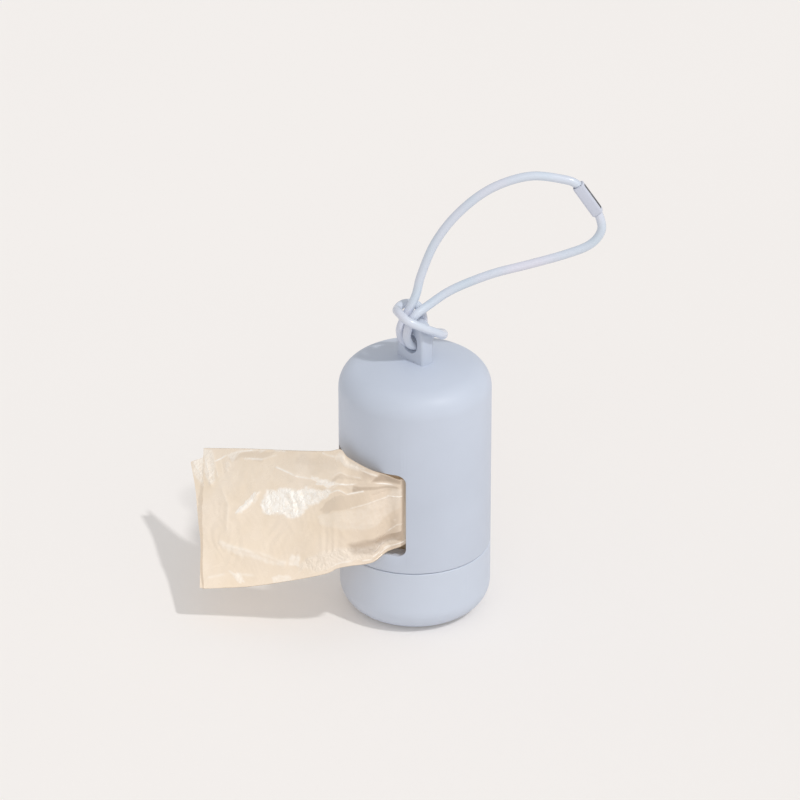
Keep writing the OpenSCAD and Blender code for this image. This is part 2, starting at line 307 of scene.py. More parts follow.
def casingRings(radius, top):
    # rings of the shoulder and of the dome, which run into each other without a corner
    shoulder, crown = casing["shoulder"] * mm, casing["crown"] * mm
    inner = radius - shoulder
    domeRadius = (inner**2 + crown**2) / (2 * crown)
    slope = math.asin(inner / (domeRadius - shoulder))
    domeMiddle = top - domeRadius
    shoulderMiddle = domeMiddle + (domeRadius - shoulder) * math.cos(slope)
    rings = []
    for i in range(casing["shoulderSteps"] + 1):
        angle = (math.pi / 2 - slope) * i / casing["shoulderSteps"]
        rings.append((inner + shoulder * math.cos(angle), shoulderMiddle + shoulder * math.sin(angle)))
    for i in range(1, casing["domeSteps"]):
        angle = slope * (1 - i / casing["domeSteps"])
        rings.append((domeRadius * math.sin(angle), domeMiddle + domeRadius * math.cos(angle)))
    return rings


def windowCutter():
    clearSelection()
    near, shadePaint = (value * mm for value in casing["windowCut"])
    middle = (casing["windowLow"] + casing["windowTall"] / 2) * mm
    bpy.ops.mesh.primitive_cube_add(size=1, location=(0, -near - shadePaint / 2, middle))
    cutter = newest("windowCutter")
    cutter.scale = (casing["windowWide"] * mm, shadePaint, casing["windowTall"] * mm)
    settle(cutter)
    editMode(cutter, "EDGE")
    pickEdges(cutter, lambda a, b: abs(a.y - b.y) > mm)
    bpy.ops.mesh.bevel(offset=casing["windowCorner"] * mm, segments=casing["windowCornerSteps"],
                       affect="EDGES")
    clearSelection()
    return cutter


def buildCasing():
    low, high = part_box("casing")
    rings = casingRings(high.x, high.z)
    radius, height = rings[0]
    clearSelection()
    bpy.ops.mesh.primitive_cylinder_add(vertices=casing["sides"], radius=radius, depth=height - low.z,
                                        end_fill_type="NOTHING", location=(0, 0, (height + low.z) / 2))
    piece = newest("casingShell")
    settle(piece)
    editMode(piece, "EDGE")
    pickEdges(piece, lambda a, b: min(a.z, b.z) > height - mm)
    for nextRadius, nextHeight in rings[1:]:
        bpy.ops.mesh.extrude_edges_move(TRANSFORM_OT_translate={"value": (0, 0, nextHeight - height)})
        grow = nextRadius / radius
        bpy.ops.transform.resize(value=(grow, grow, 1), center_override=(0, 0, nextHeight))
        radius, height = nextRadius, nextHeight
    bpy.ops.mesh.extrude_edges_move(TRANSFORM_OT_translate={"value": (0, 0, high.z - height)})
    bpy.ops.mesh.merge(type="CENTER")
    applyModifier(piece, "SOLIDIFY", thickness=casing["wall"] * mm, offset=-1, use_even_offset=True)
    cutAway(piece, windowCutter())
    softenEdges(piece, casing["edge"] * mm)
    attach(piece, "casing")
    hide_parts("casing")
    return piece


casingShell = buildCasing()
print("casing modelled")

# hanger tab with the cord's hole

tab = {
    "wide": 10.9,
    "shadePaint": 4.7,
    "corner": 4,
    "cornerSteps": 12,
    "outline": 0.8,
    "outlineSteps": 4,
    "edge": 0.4,
    "holeWide": 6.1,
    "holeTall": 6.9,
    "bar": 3.1,
}


def buildTab():
    low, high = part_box("hanger_tab")
    foot = casing["wall"] * mm
    clearSelection()
    bpy.ops.mesh.primitive_cube_add(size=1, location=(0, 0, (low.z + high.z + foot) / 2))
    piece = newest("hangerTabMoulded")
    piece.scale = (tab["wide"] * mm, tab["shadePaint"] * mm, high.z - low.z - foot)
    settle(piece)
    editMode(piece, "EDGE")
    pickEdges(piece, lambda a, b: abs(a.y - b.y) > mm and min(a.z, b.z) > high.z - mm)
    bpy.ops.mesh.bevel(offset=tab["corner"] * mm, segments=tab["cornerSteps"], affect="EDGES")
    bpy.ops.mesh.select_all(action="DESELECT")
    pickEdges(piece, lambda a, b: abs(a.y - b.y) < 1e-5 and max(a.z, b.z) > low.z + 2 * foot)
    bpy.ops.mesh.bevel(offset=tab["outline"] * mm, segments=tab["outlineSteps"], affect="EDGES")
    holeTop = high.z - tab["bar"] * mm
    radius = tab["holeWide"] / 2 * mm
    clearSelection()
    bpy.ops.mesh.primitive_cylinder_add(vertices=64, radius=radius, depth=0.02, rotation=(math.pi / 2, 0, 0),
                                        location=(0, 0, holeTop - radius))
    hole = newest("holeCutter")
    settle(hole)
    for corner in hole.data.vertices:
        if corner.co.z < holeTop - radius - 1e-6:
            corner.co.z -= (tab["holeTall"] - tab["holeWide"]) * mm
    cutAway(piece, hole)
    softenEdges(piece, tab["edge"] * mm, 4, above=40)
    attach(piece, "casing")
    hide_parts("hanger_tab")
    return piece


hangerTab = buildTab()
print("tab modelled")

# wound roll of bags

roll = {
    "around": 160,
    "along": 44,
    "bore": 7.5,
    "layers": 13,
    "layerStep": 0.14,
    "seam": 0.35,  # the part of each layer's thickness that lies flat
    "skin": 0.2,
    "wrinkle": 0.16,
    "seed": 4.7,
}


def buildRoll():
    low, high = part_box("bag_roll")
    outer, inner = high.x, roll["bore"] * mm
    clearSelection()
    bpy.ops.mesh.primitive_cylinder_add(vertices=roll["around"], radius=outer, depth=high.z - low.z,
                                        location=(0, 0, (low.z + high.z) / 2))
    piece = newest("bagRollWound")
    settle(piece)
    step = (outer - inner) / roll["layers"]
    for end in (-1, 1):
        editMode(piece, "FACE")
        pickFaces(piece, lambda middle, normal: normal.z * end > 0.9)
        for i in range(roll["layers"]):
            uneven = 0.6 + 0.4 * noise.noise(Vector((i, end, 3)))
            lift = roll["layerStep"] * mm * (1 if i % 2 else -1) * uneven
            bpy.ops.mesh.inset(thickness=step * roll["seam"], depth=0)
            bpy.ops.mesh.inset(thickness=step * (1 - roll["seam"]), depth=lift)
    editMode(piece, "FACE")
    pickFaces(piece, lambda middle, normal: abs(normal.z) > 0.9 and middle.xy.length < 1e-4)
    bpy.ops.mesh.bridge_edge_loops()
    clearSelection()
    makeActive(piece)
    editMode(piece, "EDGE")
    pickEdges(piece, lambda a, b: abs(a.z - b.z) > 0.04 and a.xy.length > outer - 1e-4)
    bpy.ops.mesh.subdivide(number_cuts=roll["along"])
    clearSelection()
    for corner in piece.data.vertices:
        place = corner.co
        if place.xy.length > outer - roll["skin"] * mm:
            angle, height = math.atan2(place.y, place.x), place.z / mm
            spot = Vector((math.cos(angle) * 3, math.sin(angle) * 3, height / 16 + roll["seed"]))
            folds = abs(noise.noise(spot * 1.6))
            ribs = 0.5 * abs(noise.noise(Vector((angle * 2, height / 2.5, 1))))
            shrink = 1 - roll["wrinkle"] * mm / outer * (folds + ribs) * 2
            place.x *= shrink
            place.y *= shrink
    makeActive(piece)
    bpy.ops.object.shade_smooth_by_angle(angle=math.radians(40))
    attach(piece, "roll")
    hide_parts("bag_roll")
    return piece


bagRoll = buildRoll()
print("roll wound")

# bag that is pulled out: a flat tube of film, gathered in the window and spread outside

film = {
    "rowsInside": 36,
    "rowsOutside": 250,
    "across": 150,
    "stations": 400,
    "headingStep": 0.05,
    "seen": 0.30,
    "lineRadius": 16.05,
    "turn": -9.6,
    "pullTurn": -20,
    "stretch": (-3.8, 22),
    "wrap": (57, 38, 19, 3),
    "wrapUnder": 0.3,
    "wrapUpper": 68.6,
    "wrapLower": 13.2,
    "insideUpper": [(0, 66.0), (6, 58.2), (11.5, 53.2)],
    "insideLower": [(0, 19.5), (5.5, 28.2), (11.5, 31.4)],
    "exitUpper": 53.4,
    "exitLower": 30.8,
    "upperEdge": [
        (-3.5, -2.1, 0.9), (-7.2, -6.1, 3.1), (-14.7, -7.0, 4.1), (-17.9, -7.1, 5.5), (-23.7, -6.8, 2.5),
        (-40.2, -4.8, -4.8), (-62.2, -3.8, -13.45), (-85.9, -2.0, -23.5),
    ],
    "lowerEdge": [
        (-3.5, -2.1, -2.4), (-4.2, -7.2, -4.3), (-8.2, -12.3, -5.2), (-11.5, -14.5, -6.6),
        (-14.7, -16.6, -9.0), (-24.2, -22.3, -13.2), (-34.2, -29.3, -16.6), (-44.8, -38.0, -18.4),
    ],
    "gap": 0.16,
    "billow": 1.5,
    "billowEnds": (0.45, 1.0),
    "held": 0.2,  # the share of its relief that the film keeps in the window
    "heldEnds": (0.305, 0.36),
    "tornFrom": 0.93,
    "tornWaver": 0.5,
    "rearEnd": (5.0, 1.5),  # how far the rear layer stands out at its top and at its bottom
    "rearCorner": (0.06, 0.10),
    "flat": (0.114, 0.098),
}

# a place on the film is (along, across): along it, 0.31 is the window and 1 the torn end,
# and across it, 0 is the upper fold and 1 the lower one
# each crease: its places, width in mm, height in mm, how much painted highlight its crest gets
creases = [
    ([(0.313, 0.094), (0.341, 0.112), (0.37, 0.131), (0.402, 0.156), (0.489, 0.288), (0.584, 0.262)],
      0.35, 0.35, 0.75),
    ([(0.424, 0.244), (0.517, 0.312)], 0.3, 0.2, 0.35),
    ([(0.418, 0.256), (0.465, 0.338), (0.531, 0.344), (0.576, 0.312)], 0.4, 0.3, 0.6),
    ([(0.426, 0.138), (0.523, 0.219)], 0.3, 0.2, 0.3),
    ([(0.313, 0.25), (0.353, 0.269)], 0.3, 0.3, 0.9),
    ([(0.353, 0.281), (0.396, 0.35), (0.454, 0.456)], 0.3, 0.3, 0.35),
    ([(0.315, 0.131), (0.358, 0.219), (0.394, 0.288)], 0.5, -0.5, 0),
    ([(0.331, 0.588), (0.353, 0.581)], 0.25, 0.15, 0.5),
    ([(0.313, 0.669), (0.327, 0.663), (0.351, 0.725)], 0.35, 0.4, 0.35),
    ([(0.351, 0.856), (0.396, 0.894)], 0.4, 0.5, 0.45),
    ([(0.315, 0.944), (0.341, 0.95), (0.378, 0.969), (0.428, 0.962)], 0.5, 0.6, 0.5),
    ([(0.327, 0.781), (0.366, 0.788), (0.394, 0.8)], 0.5, -0.5, 0),
    ([(0.412, 0.025), (0.45, 0.062), (0.507, 0.1)], 0.4, 0.3, 0.4),
    ([(0.38, 0.05), (0.458, 0.058), (0.507, 0.058), (0.563, 0.017)], 0.7, 0.5, 0.4),
    ([(0.3, 0.95), (0.357, 0.94), (0.45, 0.955), (0.6, 0.965)], 0.4, 0.4, 0.5),
    ([(0.737, 0.133), (0.662, 0.2)], 0.55, 0.7, 0.9),
    ([(0.662, 0.2), (0.587, 0.225), (0.507, 0.275)], 0.6, 0.35, 0.5),
    ([(0.955, 0.1), (0.912, 0.05), (0.866, 0.025), (0.823, 0.012)], 0.6, 0.4, 0.8),
    ([(0.903, 0.075), (0.788, 0.078), (0.705, 0.012)], 0.9, 0.6, 0.55),
    ([(0.933, 0.7), (0.86, 0.74), (0.783, 0.783), (0.692, 0.858)], 2.2, 0.9, 0.3),
    ([(0.992, 0.067), (0.971, 0.275)], 0.8, 0.6, 0.6),
    ([(0.965, 0.05), (0.945, 0.21)], 0.6, 0.4, 0.35),
    ([(0.935, 0.06), (0.925, 0.18)], 0.6, -0.4, 0),
    ([(0.794, 0.325), (0.866, 0.483)], 0.9, 0.5, 0.55),
    ([(0.62, 0.1), (0.56, 0.14), (0.5, 0.155)], 0.6, 0.35, 0.3),
    ([(0.93, 0.3), (0.9, 0.43), (0.905, 0.6)], 1.6, 0.4, 0.1),
    ([(0.98, 0.93), (0.9, 0.9), (0.8, 0.93)], 1.2, 0.5, 0.2),
    ([(0.62, 0.56), (0.5, 0.6), (0.4, 0.58)], 1.8, 0.4, 0),
]

# each patch: its outline, how soft its edge is in mm, how much painted highlight, how much painted shade,
# how crumpled
patches = {
    "highlightPatch": ([(0.766, 0.306), (0.687, 0.294), (0.604, 0.306), (0.521, 0.325), (0.551, 0.375),
        (0.616, 0.45), (0.634, 0.5), (0.675, 0.512), (0.727, 0.494), (0.778, 0.462), (0.786, 0.413)],
        0.7, 1, 0, 1),
    "brightFold": ([(0.602, 0.206), (0.549, 0.225), (0.501, 0.288), (0.533, 0.294), (0.58, 0.256)],
        0.4, 0.9, 0, 0.6),
    "cornerCrinkles": ([(1, 0.012), (0.972, 0.012), (0.958, 0.144), (0.962, 0.269), (0.984, 0.288),
        (0.998, 0.156)], 0.6, 0.5, 0, 0.8),
    "cornerGlint": ([(0.925, 0.106), (0.911, 0.1), (0.899, 0.175), (0.919, 0.188)], 0.4, 0.3, 0, 0.8),
    "lowGlintLeft": ([(0.907, 0.881), (0.859, 0.9), (0.851, 0.962), (0.881, 0.969)], 0.4, 0.45, 0, 0.5),
    "lowGlintMiddle": ([(0.675, 0.806), (0.634, 0.825), (0.636, 0.906), (0.677, 0.881)], 0.4, 0.45, 0, 0.3),
    "lowGlintRight": ([(0.743, 0.95), (0.679, 0.95), (0.669, 0.994), (0.733, 0.994)], 0.4, 0.35, 0, 0.3),
    "lowRidge": ([(0.933, 0.681), (0.867, 0.725), (0.784, 0.788), (0.689, 0.862), (0.695, 0.888),
        (0.798, 0.812), (0.881, 0.775), (0.919, 0.725)], 0.7, 0.35, 0, 0.1),
    "lowerCrinkles": ([(0.648, 0.869), (0.564, 0.812), (0.475, 0.831), (0.394, 0.825), (0.323, 0.862),
        (0.329, 0.925), (0.384, 0.931), (0.463, 0.969), (0.562, 0.975), (0.636, 0.938)], 0.8, 0.2, 0, 1),
    "upperCrinkles": ([(0.515, 0.044), (0.455, 0.031), (0.436, 0.014), (0.42, 0.04), (0.43, 0.08),
        (0.473, 0.112), (0.523, 0.088)], 0.6, 0.4, 0, 0.8),
    "lensRim": ([(0.903, 0.056), (0.875, 0.019), (0.79, 0), (0.709, 0), (0.715, 0.012), (0.81, 0.019),
        (0.867, 0.038), (0.893, 0.088)], 0.4, 0.5, 0, 0.2),
    "litUpperPart": ([(0.955, 0.05), (0.54, 0.035), (0.475, 0.2), (0.65, 0.27), (0.96, 0.33)],
        4, 0.13, 0, 0),
    "shadedLowerPart": ([(0.975, 0.8), (0.64, 0.73), (0.345, 0.93), (0.64, 1), (1, 1)], 4, 0, 0.08, 0),
    "tongue": ([(0.315, 0.25), (0.353, 0.269), (0.382, 0.325), (0.408, 0.375), (0.44, 0.444),
        (0.487, 0.519), (0.58, 0.519), (0.554, 0.581), (0.479, 0.669), (0.414, 0.644), (0.376, 0.594),
        (0.347, 0.494), (0.317, 0.413)], 0.6, 0.18, 0, 0.05),
    "tongueTip": ([(0.313, 0.15), (0.341, 0.175), (0.353, 0.262), (0.313, 0.25)], 0.5, 0.2, 0, 0),
    "sparkle": ([(0.875, 0.494), (0.871, 0.45), (0.836, 0.394), (0.812, 0.319), (0.804, 0.325),
        (0.822, 0.413), (0.848, 0.462)], 0.3, 0.85, 0, 0.5),
    "sparkleBeside": ([(0.82, 0.4), (0.812, 0.363), (0.798, 0.319), (0.792, 0.331), (0.808, 0.4)],
        0.3, 0.3, 0, 0.5),
    "lens": ([(0.901, 0.081), (0.885, 0.05), (0.85, 0.019), (0.762, 0.006), (0.727, 0), (0.762, 0.05),
        (0.796, 0.088), (0.85, 0.081)], 0.35, 0, 0.25, 0),
    "topMiddle": ([(0.681, 0.088), (0.652, 0.031), (0.582, 0.019), (0.521, 0.05), (0.457, 0.081),
        (0.457, 0.162), (0.594, 0.181), (0.636, 0.125)], 0.8, 0, 0.17, 0),
    "darkWedge": ([(0.385, 0.07), (0.37, 0.005), (0.329, 0), (0.309, 0), (0.315, 0.081), (0.341, 0.094),
        (0.37, 0.119), (0.395, 0.14)], 0.8, 0, 0.95, 0.1),
    "darkWedgeFoot": ([(0.43, 0.1), (0.415, 0.03), (0.37, 0), (0.35, 0.06), (0.37, 0.119), (0.42, 0.15)],
        1.4, 0, 0.55, 0.1),
    "darkWedgeLeft": ([(0.519, 0.238), (0.408, 0.125), (0.402, 0.15), (0.519, 0.262)], 0.5, 0, 0.4, 0),
    "underBrightLine": ([(0.446, 0.238), (0.327, 0.112), (0.319, 0.144), (0.347, 0.175), (0.408, 0.244),
        (0.448, 0.3)], 0.5, 0, 0.75, 0),
    "fan": ([(0.568, 0.475), (0.551, 0.438), (0.527, 0.4), (0.479, 0.369), (0.41, 0.269), (0.358, 0.194),
        (0.355, 0.25), (0.384, 0.312), (0.408, 0.369), (0.442, 0.438), (0.489, 0.513), (0.547, 0.494)],
        0.4, 0, 0.33, 0),
    "rightShade": ([(0.353, 0.55), (0.335, 0.475), (0.311, 0.419), (0.311, 0.925), (0.347, 0.85),
        (0.37, 0.775), (0.358, 0.675)], 2, 0, 0.55, 0.1),
    "lowBand": ([(0.313, 0.819), (0.317, 0.91), (0.345, 0.905), (0.385, 0.935), (0.414, 0.919),
        (0.459, 0.894), (0.465, 0.794), (0.424, 0.75), (0.386, 0.738), (0.353, 0.769)], 1.3, 0, 0.8, 0.25),
    "lowCorner": ([(0.4, 0.788), (0.366, 0.788), (0.341, 0.781), (0.311, 0.769), (0.311, 0.931),
        (0.327, 0.9), (0.347, 0.875), (0.372, 0.885)], 0.35, 0, 1, 0.1),
    "besideJamb": ([(0.313, 0), (0.299, 0), (0.307, 1), (0.315, 1)], 0.25, 0, 0.95, 0),
}


relief = {
    "creaseReach": 2,  # mm from a crease, past which it paints no highlight
    # painted highlight along each crease's crest, broken up into glints
    "paintedGlints": (-0.40, 0.05),
    "paintedGlintSize": (0.12, 0.3),
    "crestHighlight": 1.4,
    "crestWidth": (0.28, 0.1),
    "edgeWaver": ((1.2, 0.16, 0.16, 31), (0.7, 0.5, 0.8, 12)),  # each: mm, two noise scales, seed
    "waverNearWindow": 0.15,
    "waverEnds": (0.38, 0.62),
    "shade": 0.42,
    "shadeEnds": (0.34, 0.57),
    "folds": 0.2,
    "foldsCrumpled": 0.5,
    "foldsGathered": 0.2,
    "gatherEnds": (0.30, 0.46),
    "foldSeed": 5,
    "swell": 1.1,
    "swellAt": (0.05, 0.055, 8),  # two noise scales, seed
    "fallBack": 2.2,
    "fallBackEnds": (0.36, 0.60),
}


def tangentLine(turn):
    # the straight run from the roll's skin out through the window, in mm
    angle = math.radians(turn)
    way = Vector((math.sin(angle), -math.cos(angle), 0))
    start = Vector((math.cos(angle), math.sin(angle), 0)) * film["lineRadius"]
    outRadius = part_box("casing")[1].x / mm
    return start, start + way * math.sqrt(outRadius**2 - film["lineRadius"] ** 2), way


def filmEdges():
    start, exitPoint, way = tangentLine(film["turn"])
    edges = []
    for wrapHeight, inside, exitHeight, outside in (
        (film["wrapUpper"], film["insideUpper"], film["exitUpper"], film["upperEdge"]),
        (film["wrapLower"], film["insideLower"], film["exitLower"], film["lowerEdge"]),
    ):
        line = []
        for angle in film["wrap"]:
            a = math.radians(angle)
            ring = Vector((math.cos(a), math.sin(a), 0)) * (film["lineRadius"] - film["wrapUnder"])
            line.append(ring + Vector((0, 0, wrapHeight)))
        line += [start + way * t + Vector((0, 0, z)) for t, z in inside]
        line.append(exitPoint + Vector((0, 0, exitHeight)))
        line += [exitPoint + Vector(p) + Vector((0, 0, exitHeight)) for p in outside]
        edges.append([p * mm for p in line])
    return edges


def triangleWave(value):
    return abs(value - math.floor(value) - 0.5) * 2


folding = {
    "families": ((12, 8), (71, 6.5), (118, 4.8), (155, 3.4), (38, 2.4), (96, 1.7)),  # degrees, mm apart
    "bend": 2.2,
    "bendScale": 0.07,
    "bendSeedStep": 7.3,
    "strengthEnds": (-0.15, 0.40),
    "strengthScale": 0.13,
    "strengthSeedStep": 3.1,
    "flatten": 8,
}


def crumple(x, y, seed):
    # straight sharp folds that cross each other and come and go
    height, coarse, fine = 0, folding["bendScale"], folding["strengthScale"]
    for i, (angle, period) in enumerate(folding["families"]):
        a = math.radians(angle)
        along = x * math.cos(a) + y * math.sin(a)
        bend = noise.noise(Vector((x * coarse, y * coarse, seed + i * folding["bendSeedStep"])))
        spot = Vector((x * fine, y * fine, seed - i * folding["strengthSeedStep"]))
        strength = ramp(*folding["strengthEnds"], noise.noise(spot))
        height += (triangleWave(along / period + bend * folding["bend"]) - 0.5) * period * strength
    return height / folding["flatten"]


def toSegment(x, y, a, b):
    # distance in mm of every place from the line between two places
    dx, dy = b[0] - a[0], b[1] - a[1]
    share = np.clip(((x - a[0]) * dx + (y - a[1]) * dy) / (dx * dx + dy * dy), 0, 1)
    return np.hypot(x - a[0] - share * dx, y - a[1] - share * dy)


def smoothRamp(low, high, value):
    t = np.clip((value - low) / (high - low), 0, 1)
    return t * t * (3 - 2 * t)


def noiseAt(x, y, xScale, yScale, seed):
    return np.array([noise.noise(Vector((a * xScale, b * yScale, seed))) for a, b in zip(x, y)])


def depthInside(u, v, x, y, outline, wide, long):
    # how far in mm each place lies inside the outline, and less than 0 outside it
    inside, away = np.zeros(u.shape, bool), np.full_like(u, 99.0)
    for a, b in zip(outline, outline[1:] + outline[:1]):
        away = np.minimum(away, toSegment(x, y, (a[0] * long, a[1] * wide), (b[0] * long, b[1] * wide)))
        if a[1] != b[1]:
            crossing = a[0] + (v - a[1]) * (b[0] - a[0]) / (b[1] - a[1])
            inside ^= ((a[1] > v) != (b[1] > v)) & (u < crossing)
    return np.where(inside, away, -away)


def filmSurface(u, v, wide, long):
    # height over the flat film in mm, painted highlight, painted shade and crumple of every place
    x, y = u * long, v * wide
    height, highlightPaint, shadePaint, busy = np.zeros_like(u), np.zeros_like(u), np.zeros_like(u), np.zeros_like(u)
    for number, (places, width, tall, pale) in enumerate(creases):
        away = np.full_like(u, 99.0)
        for a, b in zip(places, places[1:]):
            # the film's width changes along it, so each place is measured with its own
            away = np.minimum(away, toSegment(x, y, (a[0] * long, a[1] * wide), (b[0] * long, b[1] * wide)))
        height += tall * np.exp(-away / width)
        # painted highlight: each crease's crest is whitened in the film's colour, in broken glints
        near = np.nonzero(away < relief["creaseReach"])[0]
        paintedGlints = smoothRamp(*relief["paintedGlints"], noiseAt(x[near], y[near], *relief["paintedGlintSize"], number))
        share, least = relief["crestWidth"]
        line = np.exp(-((away[near] / (share * width + least)) ** 2))
        line = min(1, relief["crestHighlight"] * pale) * paintedGlints * line
        highlightPaint[near] = np.maximum(highlightPaint[near], line)
    ragged = sum(size * noiseAt(x, y, *rest) for size, *rest in relief["edgeWaver"])
    calm = relief["waverNearWindow"]
    ragged *= calm + (1 - calm) * smoothRamp(*relief["waverEnds"], u)
    # each patch paints highlight and shade into the film's colour
    for outline, soft, pale, paintedShadeShare, crumpled in patches.values():
        cover = smoothRamp(-soft, soft, depthInside(u, v, x, y, outline, wide, long) + ragged)
        highlightPaint = np.maximum(highlightPaint, pale * cover)
        shadePaint = np.maximum(shadePaint, paintedShadeShare * cover)
        busy = np.maximum(busy, crumpled * cover)
    # painted shade: the film is darkened where it comes out, where the window shades it
    shadePaint = np.maximum(shadePaint, relief["shade"] * (1 - smoothRamp(*relief["shadeEnds"], u)))
    folds = np.array([crumple(a, b, relief["foldSeed"]) for a, b in zip(x, y)])
    swell = noiseAt(x, y, *relief["swellAt"])
    gather = 1 - smoothRamp(*relief["gatherEnds"], u)
    height += (relief["folds"] + relief["foldsCrumpled"] * busy + relief["foldsGathered"] * gather) * folds
    height += relief["swell"] * swell
    # in the window the upper and lower parts of the film fold away behind its middle
    height -= relief["fallBack"] * (1 - smoothRamp(*relief["fallBackEnds"], u)) * np.abs(2 * v - 0.95) ** 3
    return height, highlightPaint, shadePaint, busy


def filmRows(upper, lower, count, inside):
    last = len(upper) - 1
    stations = [last * i / film["stations"] for i in range(film["stations"] + 1)]
    middles = [(smoothCurvePoint(upper, t) + smoothCurvePoint(lower, t)) / 2 for t in stations]
    runs = [0]
    for a, b in zip(middles, middles[1:]):
        runs.append(runs[-1] + (b - a).length)
    rows = []
    for i in range(count + 1):
        if i <= inside:
            u = film["seen"] * i / inside
        else:
            u = film["seen"] + (1 - film["seen"]) * (i - inside) / (count - inside)
        t = float(np.interp(u * runs[-1], runs, stations))
        top, bottom = smoothCurvePoint(upper, t), smoothCurvePoint(lower, t)
        near, far = max(0, t - film["headingStep"]), min(last, t + film["headingStep"])
        heading = (smoothCurvePoint(upper, far) + smoothCurvePoint(lower, far)
                   - smoothCurvePoint(upper, near) - smoothCurvePoint(lower, near)).normalized()
        across = (top - bottom).normalized()
        rows.append((u, top, bottom, heading, across.cross(heading).normalized()))
    return rows, runs[-1] / mm


def buildFilm():
    upper, lower = filmEdges()
    count, around = film["rowsInside"] + film["rowsOutside"], 2 * film["across"]
    clearSelection()
    bpy.ops.mesh.primitive_grid_add(x_subdivisions=count, y_subdivisions=around, size=1)
    piece = newest("pulledBagFilm")
    rows, long = filmRows(upper, lower, count, film["rowsInside"])
    mesh = piece.data
    picks = [(round((c.co.x + 0.5) * count), round((c.co.y + 0.5) * around)) for c in mesh.vertices]
    u = np.array([rows[i][0] for i, k in picks])
    v = np.array([min(k, around - k) / film["across"] for i, k in picks])
    wide = np.array([(rows[i][1] - rows[i][2]).length / mm for i, k in picks])
    raised, highlightPaint, shadePaint, busy = filmSurface(u, v, wide, long)
    bow = np.sin(np.pi * v)
    held = film["held"]
    settled = np.sqrt(bow) * (held + (1 - held) * smoothRamp(*film["heldEnds"], u))
    opening = film["gap"] + film["billow"] * smoothRamp(*film["billowEnds"], u) * bow
    front = (0.5 * opening + raised) * settled
    rear = front - opening * np.minimum(1, 6 * bow)
    for n, (i, k) in enumerate(picks):
        share, top, bottom, heading, normal = rows[i]
        isFront = k <= film["across"]
        lift = front[n] if isFront else rear[n]
        end = ramp(film["tornFrom"], 1.0, share)
        if isFront:
            slide = -film["tornWaver"] * abs(noise.noise(Vector((v[n] * 9, 2, 5)))) * end
        else:
            most, least = film["rearEnd"]
            slide = (most * (1 - v[n]) ** 2 + least) * ramp(*film["rearCorner"], v[n]) * end
        mesh.vertices[n].co = top.lerp(bottom, v[n]) + normal * (lift * mm) + heading * (slide * mm)
    # painted highlight and painted shade, carried to the film's material in these attributes
    for name, values in (("paintedHighlight", highlightPaint), ("paintedShade", shadePaint), ("crumpled", busy)):
        layer = mesh.attributes.new(name, "FLOAT", "POINT")
        layer.data.foreach_set("value", values.astype(np.float32))
    applyModifier(piece, "WELD", merge_threshold=0.01 * mm)
    makeActive(piece)
    bpy.ops.object.shade_smooth()
    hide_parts("pulled_bag")
    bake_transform(piece)
    return piece


pulledBag = buildFilm()
print("film pulled")

# materials

plasticTints = {
    "shell": (0.575, 0.625, 0.725),
    "cap": (0.600, 0.650, 0.745),
    "thread": (0.50, 0.54, 0.63),
    "post": (0.70, 0.73, 0.78),
    "sleeve": (0.60, 0.63, 0.73),
    "strip": (0.035, 0.04, 0.05),
}
otherTints = {
    "roll": ((0.72, 0.57, 0.41), (0.82, 0.69, 0.54)),
    "cord": ((0.77, 0.85, 0.93), (0.88, 0.86, 0.94)),
    "cordCoat": (0.84, 0.86, 0.89),
    "board": ((0.36, 0.26, 0.17), (0.52, 0.40, 0.28)),
    "metal": ((0.55, 0.56, 0.58), (0.68, 0.69, 0.70)),
}
filmTints = {
    "warm": (0.745, 0.62, 0.485),
    "pale": (0.785, 0.675, 0.565),
    # painted shade colour
    "shadePaint": (0.30, 0.215, 0.155),
    # painted highlight colour
    "highlightPaint": (0.93, 0.915, 0.89),
    # painted glow of the film, a light of its own that it gives off
    "through": (1.0, 0.86, 0.68),
    "glow": 0.20,
}


def newMaterial(name):
    material = bpy.data.materials.new(name)
    material.use_nodes = True
    nodes, links = material.node_tree.nodes, material.node_tree.links
    return material, nodes, links, nodes["Principled BSDF"]


def addNode(nodes, kind, **values):
    node = nodes.new(kind)
    for key, value in values.items():
        if key in node.inputs:
            node.inputs[key].default_value = value
        else:
            setattr(node, key, value)
    return node


def noiseColour(nodes, links, place, size, shades, detail=3):
    # size is how wide the patches are, in metres
    pattern = addNode(nodes, "ShaderNodeTexNoise", Scale=1 / size, Detail=detail)
    links.new(place, pattern.inputs["Vector"])
    blend = addNode(nodes, "ShaderNodeValToRGB")
    stops = blend.color_ramp.elements
    stops[0].position, stops[1].position = 0.32, 0.68
    stops[0].color, stops[1].color = (*shades[0], 1), (*shades[1], 1)
    links.new(pattern.outputs["Fac"], blend.inputs["Fac"])
    return blend.outputs["Color"]


def noiseRoughness(nodes, links, place, shader, size, low, high):
    pattern = addNode(nodes, "ShaderNodeTexNoise", Scale=1 / size, Detail=4)
    links.new(place, pattern.inputs["Vector"])
    spread = addNode(nodes, "ShaderNodeMapRange")
    spread.inputs["From Min"].default_value, spread.inputs["From Max"].default_value = 0.3, 0.7
    spread.inputs["To Min"].default_value, spread.inputs["To Max"].default_value = low, high
    links.new(pattern.outputs["Fac"], spread.inputs["Value"])
    links.new(spread.outputs["Result"], shader.inputs["Roughness"])


def noiseBump(nodes, links, place, shader, size, height, strength=1.0, detail=2):
    pattern = addNode(nodes, "ShaderNodeTexNoise", Scale=1 / size, Detail=detail)
    links.new(place, pattern.inputs["Vector"])
    bump = addNode(nodes, "ShaderNodeBump", Strength=strength, Distance=height)
    links.new(pattern.outputs["Fac"], bump.inputs["Height"])
    links.new(bump.outputs["Normal"], shader.inputs["Normal"])
    return bump


